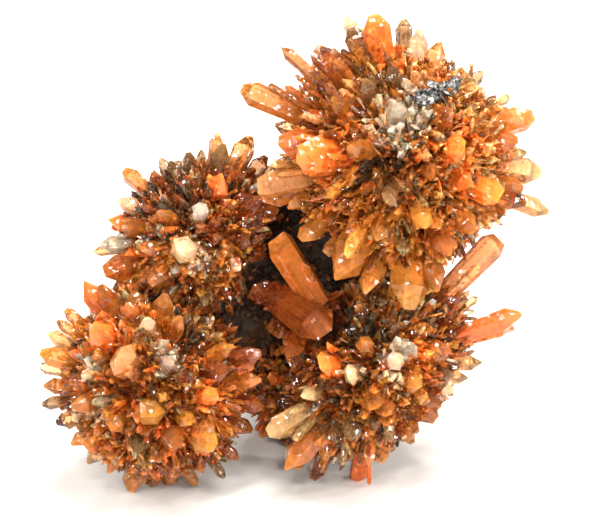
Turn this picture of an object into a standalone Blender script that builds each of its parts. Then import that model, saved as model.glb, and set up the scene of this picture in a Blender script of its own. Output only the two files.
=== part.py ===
"""A creedite cluster: six radiating sprays of flat-faced orange crystals on a lump of dark matrix.

Every spray is a ball of prisms that grew outwards from one centre and ran into each other, so it is
one solid. The sprays meet the matrix and each other with a hair's gap.

Places are first given as somebody sees them who stands in front of the cluster and looks a little
down on it: millimetres across to the right, up the view, and nearer than its middle. The function
seen() turns them into the cluster's own frame: +Z up, +Y away from the front, and the origin on the
surface that the cluster stands on, under the middle of its box.
"""

import math

import bmesh
import bpy
import numpy as np
from mathutils import Matrix, Vector

MM = 0.001

# The front view, in millimetres and radians.
EYE_TILT = math.radians(20.0)
EYE_DISTANCE = 420.0
MIDDLE = Vector((0.96, 2.86, 32.4))
ACROSS = Vector((1.0, 0.0, 0.0))
UP = Vector((0.0, math.sin(EYE_TILT), math.cos(EYE_TILT)))
NEAR = Vector((0.0, -math.cos(EYE_TILT), math.sin(EYE_TILT)))

# The gap that two touching solids keep, in millimetres.
GAP = 0.3

# How a crystal is cut, as shares of its spray's reach or of its own width. A narrow one, in
# millimetres, has four sides.
NARROW = 3.0
ROOT_SHARE = 0.42
CORE_SHARE = 0.70
POINT_SHARE = 0.79
ROOT_WIDTH = 0.50
SIX_SIDES = ((1, 0), (0.48, 1), (-0.48, 1), (-1, 0), (-0.48, -1), (0.48, -1))
FOUR_SIDES = ((1, 0), (0, 1), (-1, 0), (0, -1))

# The sprays, in millimetres: where each is centred in the front view, how far its ordinary crystals
# reach, how far it holds its neighbours off, how many ordinary crystals it has, and their seed.
SPRAYS = {
    "upper_spray": dict(centre=(16.6, 16.8, 4.0), reach=18.2, claim=18.8, count=44, seed=11),
    "lower_right_spray": dict(centre=(11.5, -16.4, 4.0), reach=14.4, claim=14.8, count=34, seed=12),
    "lower_left_spray": dict(centre=(-23.6, -19.4, 6.0), reach=16.8, claim=16.8, count=36, seed=13),
    "left_spray": dict(centre=(-15.6, 3.8, 2.0), reach=14.4, claim=14.8, count=32, seed=14),
    "middle_spray": dict(centre=(1.5, -5.0, 1.0), reach=5.0, claim=10.5, count=12, seed=15),
    "rear_spray": dict(centre=(2.0, -15.5, -14.0), reach=16.5, claim=16.5, count=37, seed=16),
}

# The crystals that stand out, spray by spray. Each row is the tip's place across, up and nearer than
# the spray's centre, then the crystal's width, then how blunt its end is, from 0, a point, to 1.
LEADING = {
    "upper_spray": [
        (-9.4, 28.4, 6.0, 4.0, 0.5), (-3.0, 35.0, 0.0, 2.0, 0.1), (2.2, 34.6, 8.0, 5.2, 0.6),
        (7.4, 40.0, -4.0, 2.4, 0.2), (8.3, 38.2, 1.0, 3.8, 0.5), (11.7, 40.3, 4.0, 4.6, 0.5),
        (16.6, 39.5, -2.0, 2.8, 0.4), (19.2, 37.8, 3.0, 3.4, 0.3), (22.4, 36.0, 2.0, 3.0, 0.2),
        (24.6, 33.0, 0.0, 2.4, 0.3), (27.7, 32.5, 2.0, 2.8, 0.1), (29.3, 31.2, -2.0, 2.0, 0.3),
        (33.6, 27.2, -3.0, 1.6, 0.5), (37.3, 24.3, 4.0, 4.4, 0.6), (34.9, 20.2, 7.0, 3.8, 0.4),
        (38.6, 15.0, 1.0, 4.4, 0.5), (35.8, 12.5, 6.0, 2.8, 0.4), (39.8, 8.6, 1.0, 3.4, 0.3),
        (36.2, 10.0, 5.0, 4.0, 0.3), (32.2, 11.2, 11.0, 4.8, 0.7), (26.4, 19.2, 17.0, 5.0, 0.5),
        (30.9, 6.2, 3.0, 1.8, 0.1), (28.0, 5.5, 12.0, 3.6, 0.4), (5.6, -2.2, 12.0, 5.4, 0.1),
        (10.4, -4.5, 9.0, 3.6, 0.2), (0.0, 4.2, 9.0, 3.2, 0.5), (-1.8, 9.6, 7.0, 2.6, 0.4),
        (-3.5, 20.0, 11.0, 5.0, 0.4), (-0.5, 18.0, 16.0, 6.4, 0.5), (-6.8, 12.6, 9.0, 4.2, 0.6),
        (-4.0, 22.6, 5.0, 2.4, 0.4), (11.5, 18.2, 20.0, 4.0, 0.2), (17.6, -7.0, 9.0, 6.2, 0.4),
        (22.0, -4.2, 9.0, 4.0, 0.2), (14.9, 32.0, 12.0, 3.8, 0.3), (15.2, 26.0, 18.0, 3.4, 0.3),
        (24.4, 25.0, 17.0, 3.0, 0.3), (10.2, 30.0, 14.0, 3.2, 0.2), (5.0, 26.8, 13.0, 3.0, 0.6),
        (13.0, 11.0, 19.0, 3.0, 0.3), (21.4, 14.8, 20.0, 2.8, 0.3), (12.2, 4.0, 15.0, 3.2, 0.1),
        (24.0, 1.6, 14.0, 3.8, 0.2), (20.0, 6.0, 18.0, 3.6, 0.2), (27.5, 13.0, 16.0, 3.4, 0.3),
    ],
    "lower_right_spray": [
        (35.4, -7.6, 3.0, 4.0, 0.3), (28.5, -5.0, -2.0, 1.4, 0.5), (25.3, -3.9, 4.0, 4.4, 0.6),
        (29.2, -15.4, 3.0, 2.6, 0.1), (26.9, -17.9, 3.0, 2.2, 0.2), (24.6, -20.0, 4.0, 2.8, 0.3),
        (22.9, -21.8, 5.0, 4.0, 0.5), (21.8, -24.6, 4.0, 3.6, 0.6), (19.0, -26.6, 2.0, 2.0, 0.3),
        (18.0, -28.4, 3.0, 2.4, 0.5), (14.6, -28.2, 6.0, 2.2, 0.2), (11.0, -32.2, 4.0, 2.0, 0.1),
        (9.1, -36.0, -4.5, 3.4, 0.2), (-2.4, -32.6, 6.0, 4.6, 0.1), (-5.2, -26.8, 8.0, 3.6, 0.6),
        (2.0, -34.2, -1.0, 2.6, 0.5), (7.8, -27.8, 11.0, 3.4, 0.4), (11.7, -23.0, 15.0, 4.0, 0.3),
        (3.0, -15.6, 13.0, 4.0, 0.7), (7.6, -17.6, 15.0, 3.4, 0.5), (31.8, 4.4, 3.0, 4.2, 0.8),
        (18.4, -12.6, 13.0, 4.0, 0.3), (24.0, -13.0, 9.0, 4.2, 0.4), (19.5, -19.0, 12.0, 3.6, 0.2),
        (14.0, -24.0, 13.0, 3.4, 0.3), (10.2, -12.0, 14.0, 3.0, 0.3), (0.3, -21.0, 10.0, 2.8, 0.3),
        (16.0, -15.0, 15.0, 3.2, 0.2),
    ],
    "lower_left_spray": [
        (-34.6, -2.4, 3.0, 3.6, 0.1), (-32.0, -3.0, 4.0, 3.8, 0.3), (-37.6, -7.0, 2.0, 2.2, 0.5),
        (-38.9, -8.8, 3.0, 2.2, 0.4), (-40.3, -10.8, 1.0, 2.8, 0.4), (-41.6, -13.8, 4.0, 3.4, 0.4),
        (-41.9, -16.0, 0.0, 2.2, 0.3), (-41.0, -19.2, 3.0, 2.6, 0.3), (-41.3, -22.2, 0.0, 2.4, 0.4),
        (-39.0, -25.2, 3.0, 2.6, 0.4), (-36.6, -28.6, 1.0, 2.4, 0.3), (-34.0, -31.6, 1.0, 2.4, 0.3),
        (-30.7, -33.2, 0.0, 2.4, 0.3), (-27.0, -36.2, -2.0, 3.6, 0.4), (-23.4, -36.2, -4.5, 3.0, 0.4),
        (-20.4, -36.0, -5.0, 2.6, 0.3), (-16.8, -35.2, -3.0, 2.0, 0.4), (-12.0, -33.9, 0.0, 1.8, 0.4),
        (-9.8, -31.0, 1.0, 2.0, 0.3), (-29.2, -14.2, 17.0, 5.6, 0.6), (-33.4, -9.4, 11.0, 4.6, 0.3),
        (-24.2, -24.2, 17.0, 5.0, 0.6), (-26.0, -29.8, 13.0, 3.4, 0.4), (-13.5, -29.0, 11.0, 5.8, 0.4),
        (-19.4, -29.0, 13.0, 4.8, 0.4), (-13.0, -21.0, 13.0, 3.2, 0.2), (-17.4, -25.4, 15.0, 2.8, 0.1),
        (-17.3, -17.2, 16.0, 3.0, 0.1), (-20.8, -15.0, 16.0, 3.2, 0.4), (-10.6, -12.6, 8.0, 3.0, 0.1),
        (-11.6, -16.4, 10.0, 4.0, 0.4), (-6.2, -13.8, 6.0, 3.4, 0.4), (-6.2, -18.2, 5.0, 2.8, 0.3),
        (-5.8, -22.6, 3.0, 2.8, 0.4), (-7.6, -26.4, 3.0, 2.8, 0.4), (-27.6, -5.8, 8.0, 2.8, 0.3),
        (-21.6, -4.4, 7.0, 3.2, 0.4), (-19.0, -8.0, 10.0, 2.8, 0.3), (-24.6, -8.2, 12.0, 2.8, 0.3),
        (-36.5, -22.5, 10.0, 3.6, 0.3), (-30.5, -26.0, 14.0, 3.6, 0.4), (-37.0, -18.6, 9.0, 3.6, 0.2),
    ],
    "left_spray": [
        (-28.2, 15.4, 2.0, 2.8, 0.5), (-29.1, 10.6, 3.0, 2.6, 0.4), (-30.7, 7.4, 1.0, 2.8, 0.1),
        (-28.6, 6.6, 7.0, 3.2, 0.7), (-32.0, 3.4, 2.0, 2.8, 0.3), (-33.1, 2.2, -2.0, 1.8, 0.3),
        (-31.4, -1.0, 4.0, 4.4, 0.6), (-22.4, 17.3, -1.0, 1.8, 0.3), (-20.8, 16.8, 3.0, 2.6, 0.3),
        (-17.9, 18.2, 1.0, 2.8, 0.4), (-15.8, 18.6, -2.0, 1.8, 0.3), (-13.1, 21.4, 1.0, 2.4, 0.1),
        (-12.2, 19.6, 4.0, 3.6, 0.3), (-8.0, 20.8, 4.0, 3.8, 0.4), (-12.5, 14.8, 9.0, 4.0, 0.1),
        (-19.2, 15.0, 7.0, 3.0, 0.2), (-6.2, 10.9, 7.0, 3.8, 0.4), (-6.0, 7.6, 6.0, 4.4, 0.6),
        (-16.0, 9.8, 13.0, 2.8, 0.4), (-19.4, 2.2, 13.0, 4.8, 0.3), (-15.2, -6.4, 7.0, 2.2, 0.3),
        (-8.0, 3.8, 9.0, 3.0, 0.3), (-11.2, -5.4, 7.0, 3.0, 0.2), (-9.5, -0.6, 9.0, 2.8, 0.2),
        (-25.5, 2.5, 10.0, 3.2, 0.3), (-24.0, -3.0, 9.0, 3.8, 0.4), (-22.8, 8.8, 10.0, 2.8, 0.3),
        (-4.4, 14.6, 1.0, 4.2, 0.4), (-3.6, 9.6, 2.0, 4.0, 0.5), (-30.0, -4.6, 3.0, 4.0, 0.4),
    ],
    "middle_spray": [
        (-4.0, 4.5, 3.5, 5.2, 0.9), (-8.0, -4.0, 1.5, 4.6, 0.7), (4.2, -10.9, 8.0, 5.6, 0.6),
        (-1.4, -15.7, 4.0, 4.2, 0.3), (-4.5, -10.9, 2.5, 5.0, 0.8), (8.3, -4.8, 2.5, 3.6, 0.4),
    ],
    "rear_spray": [
        (-3.0, -27.0, 6.0, 3.6, 0.3), (4.0, -30.0, 2.0, 3.6, 0.3), (-7.5, -21.5, 7.0, 3.2, 0.3),
    ],
}

# The matrix is a lump whose radius swells into arms, most of them towards the sprays that grew on it.
# Each row is a place in the front view that an arm points at, and the swell. All are millimetres.
MATRIX_CENTRE = (-1.5, -2.5, -8.0)
MATRIX_RADIUS = 8.0
MATRIX_KNOBS = 0.9
MATRIX_SEED = 5
MATRIX_ARMS = (
    ((16.6, 16.8, 4.0), 11.0),
    ((11.5, -16.4, 4.0), 5.0),
    ((-23.6, -19.4, 6.0), 11.0),
    ((-15.6, 3.8, 2.0), 8.0),
    ((2.0, -15.5, -14.0), 4.0),
    ((-3.5, 9.5, -1.0), 5.0),
)
ARM_SHARPNESS = 7.0

# What the crystals and the matrix look like: colour, roughness and how much light goes through.
ORANGE = (0.78, 0.27, 0.05, 1.0)
DARK_BROWN = (0.05, 0.03, 0.02, 1.0)


def seen(across, up, near):
    """The point of the cluster's frame that the front view shows there; nearer things look larger."""
    shrink = (EYE_DISTANCE - near) / EYE_DISTANCE
    return MIDDLE + shrink * (across * ACROSS + up * UP) + near * NEAR


def material(name, colour, roughness, transmission):
    """A Principled BSDF with plain values."""
    made = bpy.data.materials.new(name)
    made.use_nodes = True
    shader = made.node_tree.nodes["Principled BSDF"]
    shader.inputs["Base Color"].default_value = colour
    shader.inputs["Roughness"].default_value = roughness
    shader.inputs["Transmission Weight"].default_value = transmission
    shader.inputs["IOR"].default_value = 1.47
    made.diffuse_color = colour
    return made


def solid_object(name, bm, finish=None):
    """The bmesh as an object of the scene, in metres, flat shaded."""
    bmesh.ops.recalc_face_normals(bm, faces=bm.faces)
    bmesh.ops.scale(bm, vec=(MM, MM, MM), verts=bm.verts)
    mesh = bpy.data.meshes.new(name)
    bm.to_mesh(mesh)
    bm.free()
    made = bpy.data.objects.new(name, mesh)
    if finish:
        mesh.materials.append(finish)
    bpy.context.scene.collection.objects.link(made)
    return made


def crystal_corners(root, tip, width, flat, blunt, roll, sides, grown=0.0):
    """The corners of one crystal: a prism that widens from its root, with a roof-shaped end.

    The end's ridge lies across the width. A blunt of 0 makes the ridge a point, and 1 makes it as
    long as the crystal is wide. Sides is the outline of its section, in half widths and depths.
    """
    along = (tip - root).normalized()
    broad = along.cross(NEAR)
    if broad.length < 0.2:
        broad = along.cross(UP)
    broad = Matrix.Rotation(roll, 3, along) @ broad.normalized()
    thin = along.cross(broad)
    half, depth = width / 2 + grown, width * flat / 2 + grown
    roof = width * (0.75 - 0.45 * blunt)
    shoulder = tip - along * roof
    corners = [shoulder + broad * (x * half) + thin * (y * depth) for x, y in sides]
    corners += [root + ROOT_WIDTH * (broad * (x * half) + thin * (y * depth)) for x, y in sides]
    crest = tip + along * grown
    ridge = max(blunt, 0.06) * 0.8 * half
    return corners + [crest + broad * ridge, crest - broad * ridge * 0.8]


def spread(count, rng):
    """Directions spread evenly over a ball by the golden angle, each shifted a little."""
    golden = math.pi * (3 - math.sqrt(5))
    turned = rng.uniform(0, 2 * math.pi)
    for i in range(count):
        height = 1 - (2 * i + 1) / count
        ring = math.sqrt(1 - height * height)
        way = Vector((ring * math.cos(golden * i + turned), ring * math.sin(golden * i + turned), height))
        yield (way + Vector(rng.uniform(-0.10, 0.10, 3))).normalized()


def gap_between(point, start, end):
    """The distance from a point to the line from start to end."""
    span = end - start
    share = max(0.0, min(1.0, (point - start).dot(span) / span.length_squared))
    return (point - start - span * share).length


def leading_crystals(name):
    """Root, tip, width, flatness, bluntness, roll and section of the spray's listed crystals."""
    spray = SPRAYS[name]
    rng = np.random.default_rng(spray["seed"])
    across, up, near = spray["centre"]
    centre = seen(across, up, near)
    made = []
    for tip_across, tip_up, tip_near, width, blunt in LEADING[name]:
        tip = seen(tip_across, tip_up, near + tip_near)
        root = centre + (tip - centre).normalized() * ROOT_SHARE * spray["reach"]
        flat, roll = rng.uniform(0.55, 0.85), math.radians(rng.uniform(-30, 30))
        sides = SIX_SIDES if width > NARROW else FOUR_SIDES
        made.append((root, tip, width, flat, blunt, roll, sides))
    return made


def room(name, way):
    """How far a crystal can grow this way before it meets the growth of a neighbouring spray."""
    centre, claim = seen(*SPRAYS[name]["centre"]), SPRAYS[name]["claim"]
    free = SPRAYS[name]["reach"]
    for other in SPRAYS:
        span = seen(*SPRAYS[other]["centre"]) - centre
        if other != name and way.dot(span) > 0:
            limit = span.length_squared + claim**2 - SPRAYS[other]["claim"] ** 2
            free = min(free, limit / (2 * way.dot(span)))
    return free


def ordinary_crystals(name, leading):
    """The crystals between the listed ones. One that has no room is left out."""
    spray = SPRAYS[name]
    rng = np.random.default_rng(spray["seed"] + 100)
    centre, reach = seen(*spray["centre"]), spray["reach"]
    far = [c for n, row in leading.items() if n != name for c in row]
    made = []
    for way in spread(spray["count"], rng):
        long, width = room(name, way) * rng.uniform(0.88, 1.0), rng.uniform(4.0, 6.0)
        flat, blunt, roll = rng.uniform(0.6, 0.95), rng.uniform(0.05, 0.6), rng.uniform(0, math.pi)
        tip = centre + way * long
        own = min(gap_between(tip, root, end) - wide / 2 for root, end, wide, *_ in leading[name])
        if own < 0.5 or long < (CORE_SHARE + 0.06) * reach:
            continue
        if min(gap_between(tip, root, end) - wide / 2 for root, end, wide, *_ in far) < 1.2:
            continue
        made.append((centre + way * ROOT_SHARE * reach, tip, width, flat, blunt, roll, FOUR_SIDES))
    return made


def crystal_object(name, crystal, grown=0.0):
    bm = bmesh.new()
    corners = [bm.verts.new(c) for c in crystal_corners(*crystal, grown=grown)]
    bmesh.ops.convex_hull(bm, input=corners)
    return solid_object(name, bm)


def core_object(name, spray, grown=0.0):
    """The heart of a spray, where short crystals are packed side by side into one flat-faced ball."""
    rng = np.random.default_rng(spray["seed"] + 200)
    centre = seen(*spray["centre"])
    bm = bmesh.new()
    bmesh.ops.create_icosphere(bm, subdivisions=2, radius=1.0)
    for vert in bm.verts:
        way = (vert.co.normalized() + Vector(rng.uniform(-0.12, 0.12, 3))).normalized()
        share = rng.choice((CORE_SHARE, POINT_SHARE)) + rng.uniform(-0.02, 0.02)
        vert.co = centre + way * (share * spray["reach"] + grown)
    return solid_object(name, bm)


def combined(target, operation, operands):
    """The target's mesh after a Boolean with the operands, which are then removed."""
    group = bpy.data.collections.new("operands")
    bpy.context.scene.collection.children.link(group)
    for each in operands:
        bpy.context.scene.collection.objects.unlink(each)
        group.objects.link(each)
    modifier = target.modifiers.new("combined", "BOOLEAN")
    modifier.operation = operation
    modifier.operand_type = "COLLECTION"
    modifier.collection = group
    modifier.solver = "EXACT"
    modifier.use_self = True
    apply_modifiers(target)
    for each in operands:
        bpy.data.objects.remove(each)
    bpy.data.collections.remove(group)


def apply_modifiers(target):
    graph = bpy.context.evaluated_depsgraph_get()
    mesh = bpy.data.meshes.new_from_object(target.evaluated_get(graph))
    target.modifiers.clear()
    old = target.data
    target.data = mesh
    bpy.data.meshes.remove(old)


def whole_body(target):
    """Keeps the largest body of the mesh: chips that a cut has freed are dropped."""
    bm = bmesh.new()
    bm.from_mesh(target.data)
    bmesh.ops.triangulate(bm, faces=bm.faces)
    left, bodies = set(bm.verts), []
    while left:
        body, edge = set(), [left.pop()]
        while edge:
            vert = edge.pop()
            body.add(vert)
            for other in (e.other_vert(vert) for e in vert.link_edges):
                if other in left:
                    left.remove(other)
                    edge.append(other)
        bodies.append(body)
    bodies.sort(key=len)
    loose = [v for body in bodies[:-1] for v in body]
    bmesh.ops.delete(bm, geom=loose, context="VERTS")
    bm.to_mesh(target.data)
    bm.free()


def spray_object(name, crystals, finish, grown=0.0):
    """One spray: its heart and its crystals, joined."""
    target = core_object(name, SPRAYS[name], grown)
    operands = [crystal_object(f"{name}_crystal", c, grown) for c in crystals]
    combined(target, "UNION", operands)
    target.data.materials.clear()
    target.data.materials.append(finish)
    return target


def matrix_object(name, finish, grown=0.0):
    """The rock: a ball whose radius swells into an arm towards each spray, with knobs over it."""
    rng = np.random.default_rng(MATRIX_SEED)
    centre = seen(*MATRIX_CENTRE)
    arms = [((seen(*place) - centre).normalized(), swell) for place, swell in MATRIX_ARMS]
    bm = bmesh.new()
    bmesh.ops.create_icosphere(bm, subdivisions=3, radius=1.0)
    for vert in bm.verts:
        way = vert.co.normalized()
        radius = MATRIX_RADIUS + MATRIX_KNOBS * rng.uniform(-1, 1) + grown
        radius += sum(swell * math.exp(ARM_SHARPNESS * (way.dot(arm) - 1)) for arm, swell in arms)
        vert.co = centre + way * radius
    return solid_object(name, bm, finish)


def ground_object():
    """A block whose top is the surface that the cluster stands on. It flattens the tips that stand."""
    bm = bmesh.new()
    side, deep = 200.0, 20.0
    bmesh.ops.create_cube(bm, size=1.0)
    bmesh.ops.scale(bm, vec=(side, side, deep), verts=bm.verts)
    bmesh.ops.translate(bm, vec=(0, 0, -deep / 2), verts=bm.verts)
    return solid_object("ground", bm)


def build():
    for old in list(bpy.data.objects):
        bpy.data.objects.remove(old)
    crystal_finish = material("creedite", ORANGE, 0.15, 0.6)
    rock_finish = material("matrix rock", DARK_BROWN, 0.8, 0.0)
    leading = {name: leading_crystals(name) for name in SPRAYS}
    crystals = {name: leading[name] + ordinary_crystals(name, leading) for name in SPRAYS}
    names = list(SPRAYS)
    for place, name in enumerate(names):
        spray = spray_object(name, crystals[name], crystal_finish)
        cutters = [matrix_object("cutter", None, GAP), ground_object()]
        for earlier in names[:place]:
            cutters.append(spray_object(earlier, crystals[earlier], crystal_finish, GAP))
        for cutter in cutters:
            combined(spray, "DIFFERENCE", [cutter])
        whole_body(spray)
        spray.name = name
    rock = matrix_object("matrix", rock_finish)
    combined(rock, "DIFFERENCE", [ground_object()])
    whole_body(rock)


build()
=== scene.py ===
# %% [markdown]
# # A creedite cluster
# This specimen is a handful of balls, each made of orange prisms that grew outwards from one point.
# Where two balls met they stopped each other, and dark matrix shows between them. The CAD solids give
# the places and the reach of it all. Here each solid is replaced by a denser growth of crystals,
# because the look comes from hundreds of small flat faces that catch the light.

# %% The frame that the crystals grow in
import math

import bpy
import numpy as np
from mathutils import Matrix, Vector


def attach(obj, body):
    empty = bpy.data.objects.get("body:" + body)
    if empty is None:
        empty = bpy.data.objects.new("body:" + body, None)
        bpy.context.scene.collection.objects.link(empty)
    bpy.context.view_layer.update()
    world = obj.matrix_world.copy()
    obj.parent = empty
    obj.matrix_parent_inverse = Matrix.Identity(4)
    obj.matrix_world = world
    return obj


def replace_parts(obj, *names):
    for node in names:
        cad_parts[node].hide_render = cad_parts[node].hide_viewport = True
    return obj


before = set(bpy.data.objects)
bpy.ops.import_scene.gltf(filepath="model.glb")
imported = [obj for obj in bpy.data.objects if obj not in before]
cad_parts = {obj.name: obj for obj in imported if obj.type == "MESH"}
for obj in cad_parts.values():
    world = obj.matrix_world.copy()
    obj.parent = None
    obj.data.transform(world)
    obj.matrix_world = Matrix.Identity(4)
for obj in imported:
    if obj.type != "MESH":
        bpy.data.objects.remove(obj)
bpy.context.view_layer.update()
print("CAD nodes:", sorted(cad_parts))

# %% [markdown]
# Places are given as the photograph's eye sees them: millimetres to the right, up the view, and nearer
# than the middle. The eye looks twenty degrees down from 420 mm away. One function turns such a place
# into the frame's own millimetres, so the camera and every crystal agree on where things are.

# %% The eye and its millimetres
MM = 0.001
TILT = math.radians(20.0)
EYE_DISTANCE = 420.0
MIDDLE = np.array([0.96, 2.86, 32.4])
ACROSS = np.array([1.0, 0.0, 0.0])
UP = np.array([0.0, math.sin(TILT), math.cos(TILT)])
NEAR = np.array([0.0, -math.cos(TILT), math.sin(TILT)])


def seen(places):
    """Middle, plus across and up shrunk by the share of the eye's distance left, plus near."""
    across, up, near = np.moveaxis(np.asarray(places, float)[..., None], -2, 0)
    shrink = (EYE_DISTANCE - near) / EYE_DISTANCE
    return MIDDLE + shrink * (across * ACROSS + up * UP) + near * NEAR


print("the picture's middle, in millimetres of the frame:", MIDDLE)

# %% [markdown]
# Each spray has a centre, a reach, a claim that says how strongly it holds its side against a
# neighbour, and a seed for its random draws. Its leading crystals are those that can be told apart in
# the photograph. A row holds the tip's place (near is counted from the spray's centre), the width, how
# blunt the end is, and the kind of crystal: creedite runs from clear through honey to opaque orange
# within one specimen, and iron stains some of it brown. The big prisms in the middle don't meet in one
# centre, so their roots are listed too.

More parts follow.
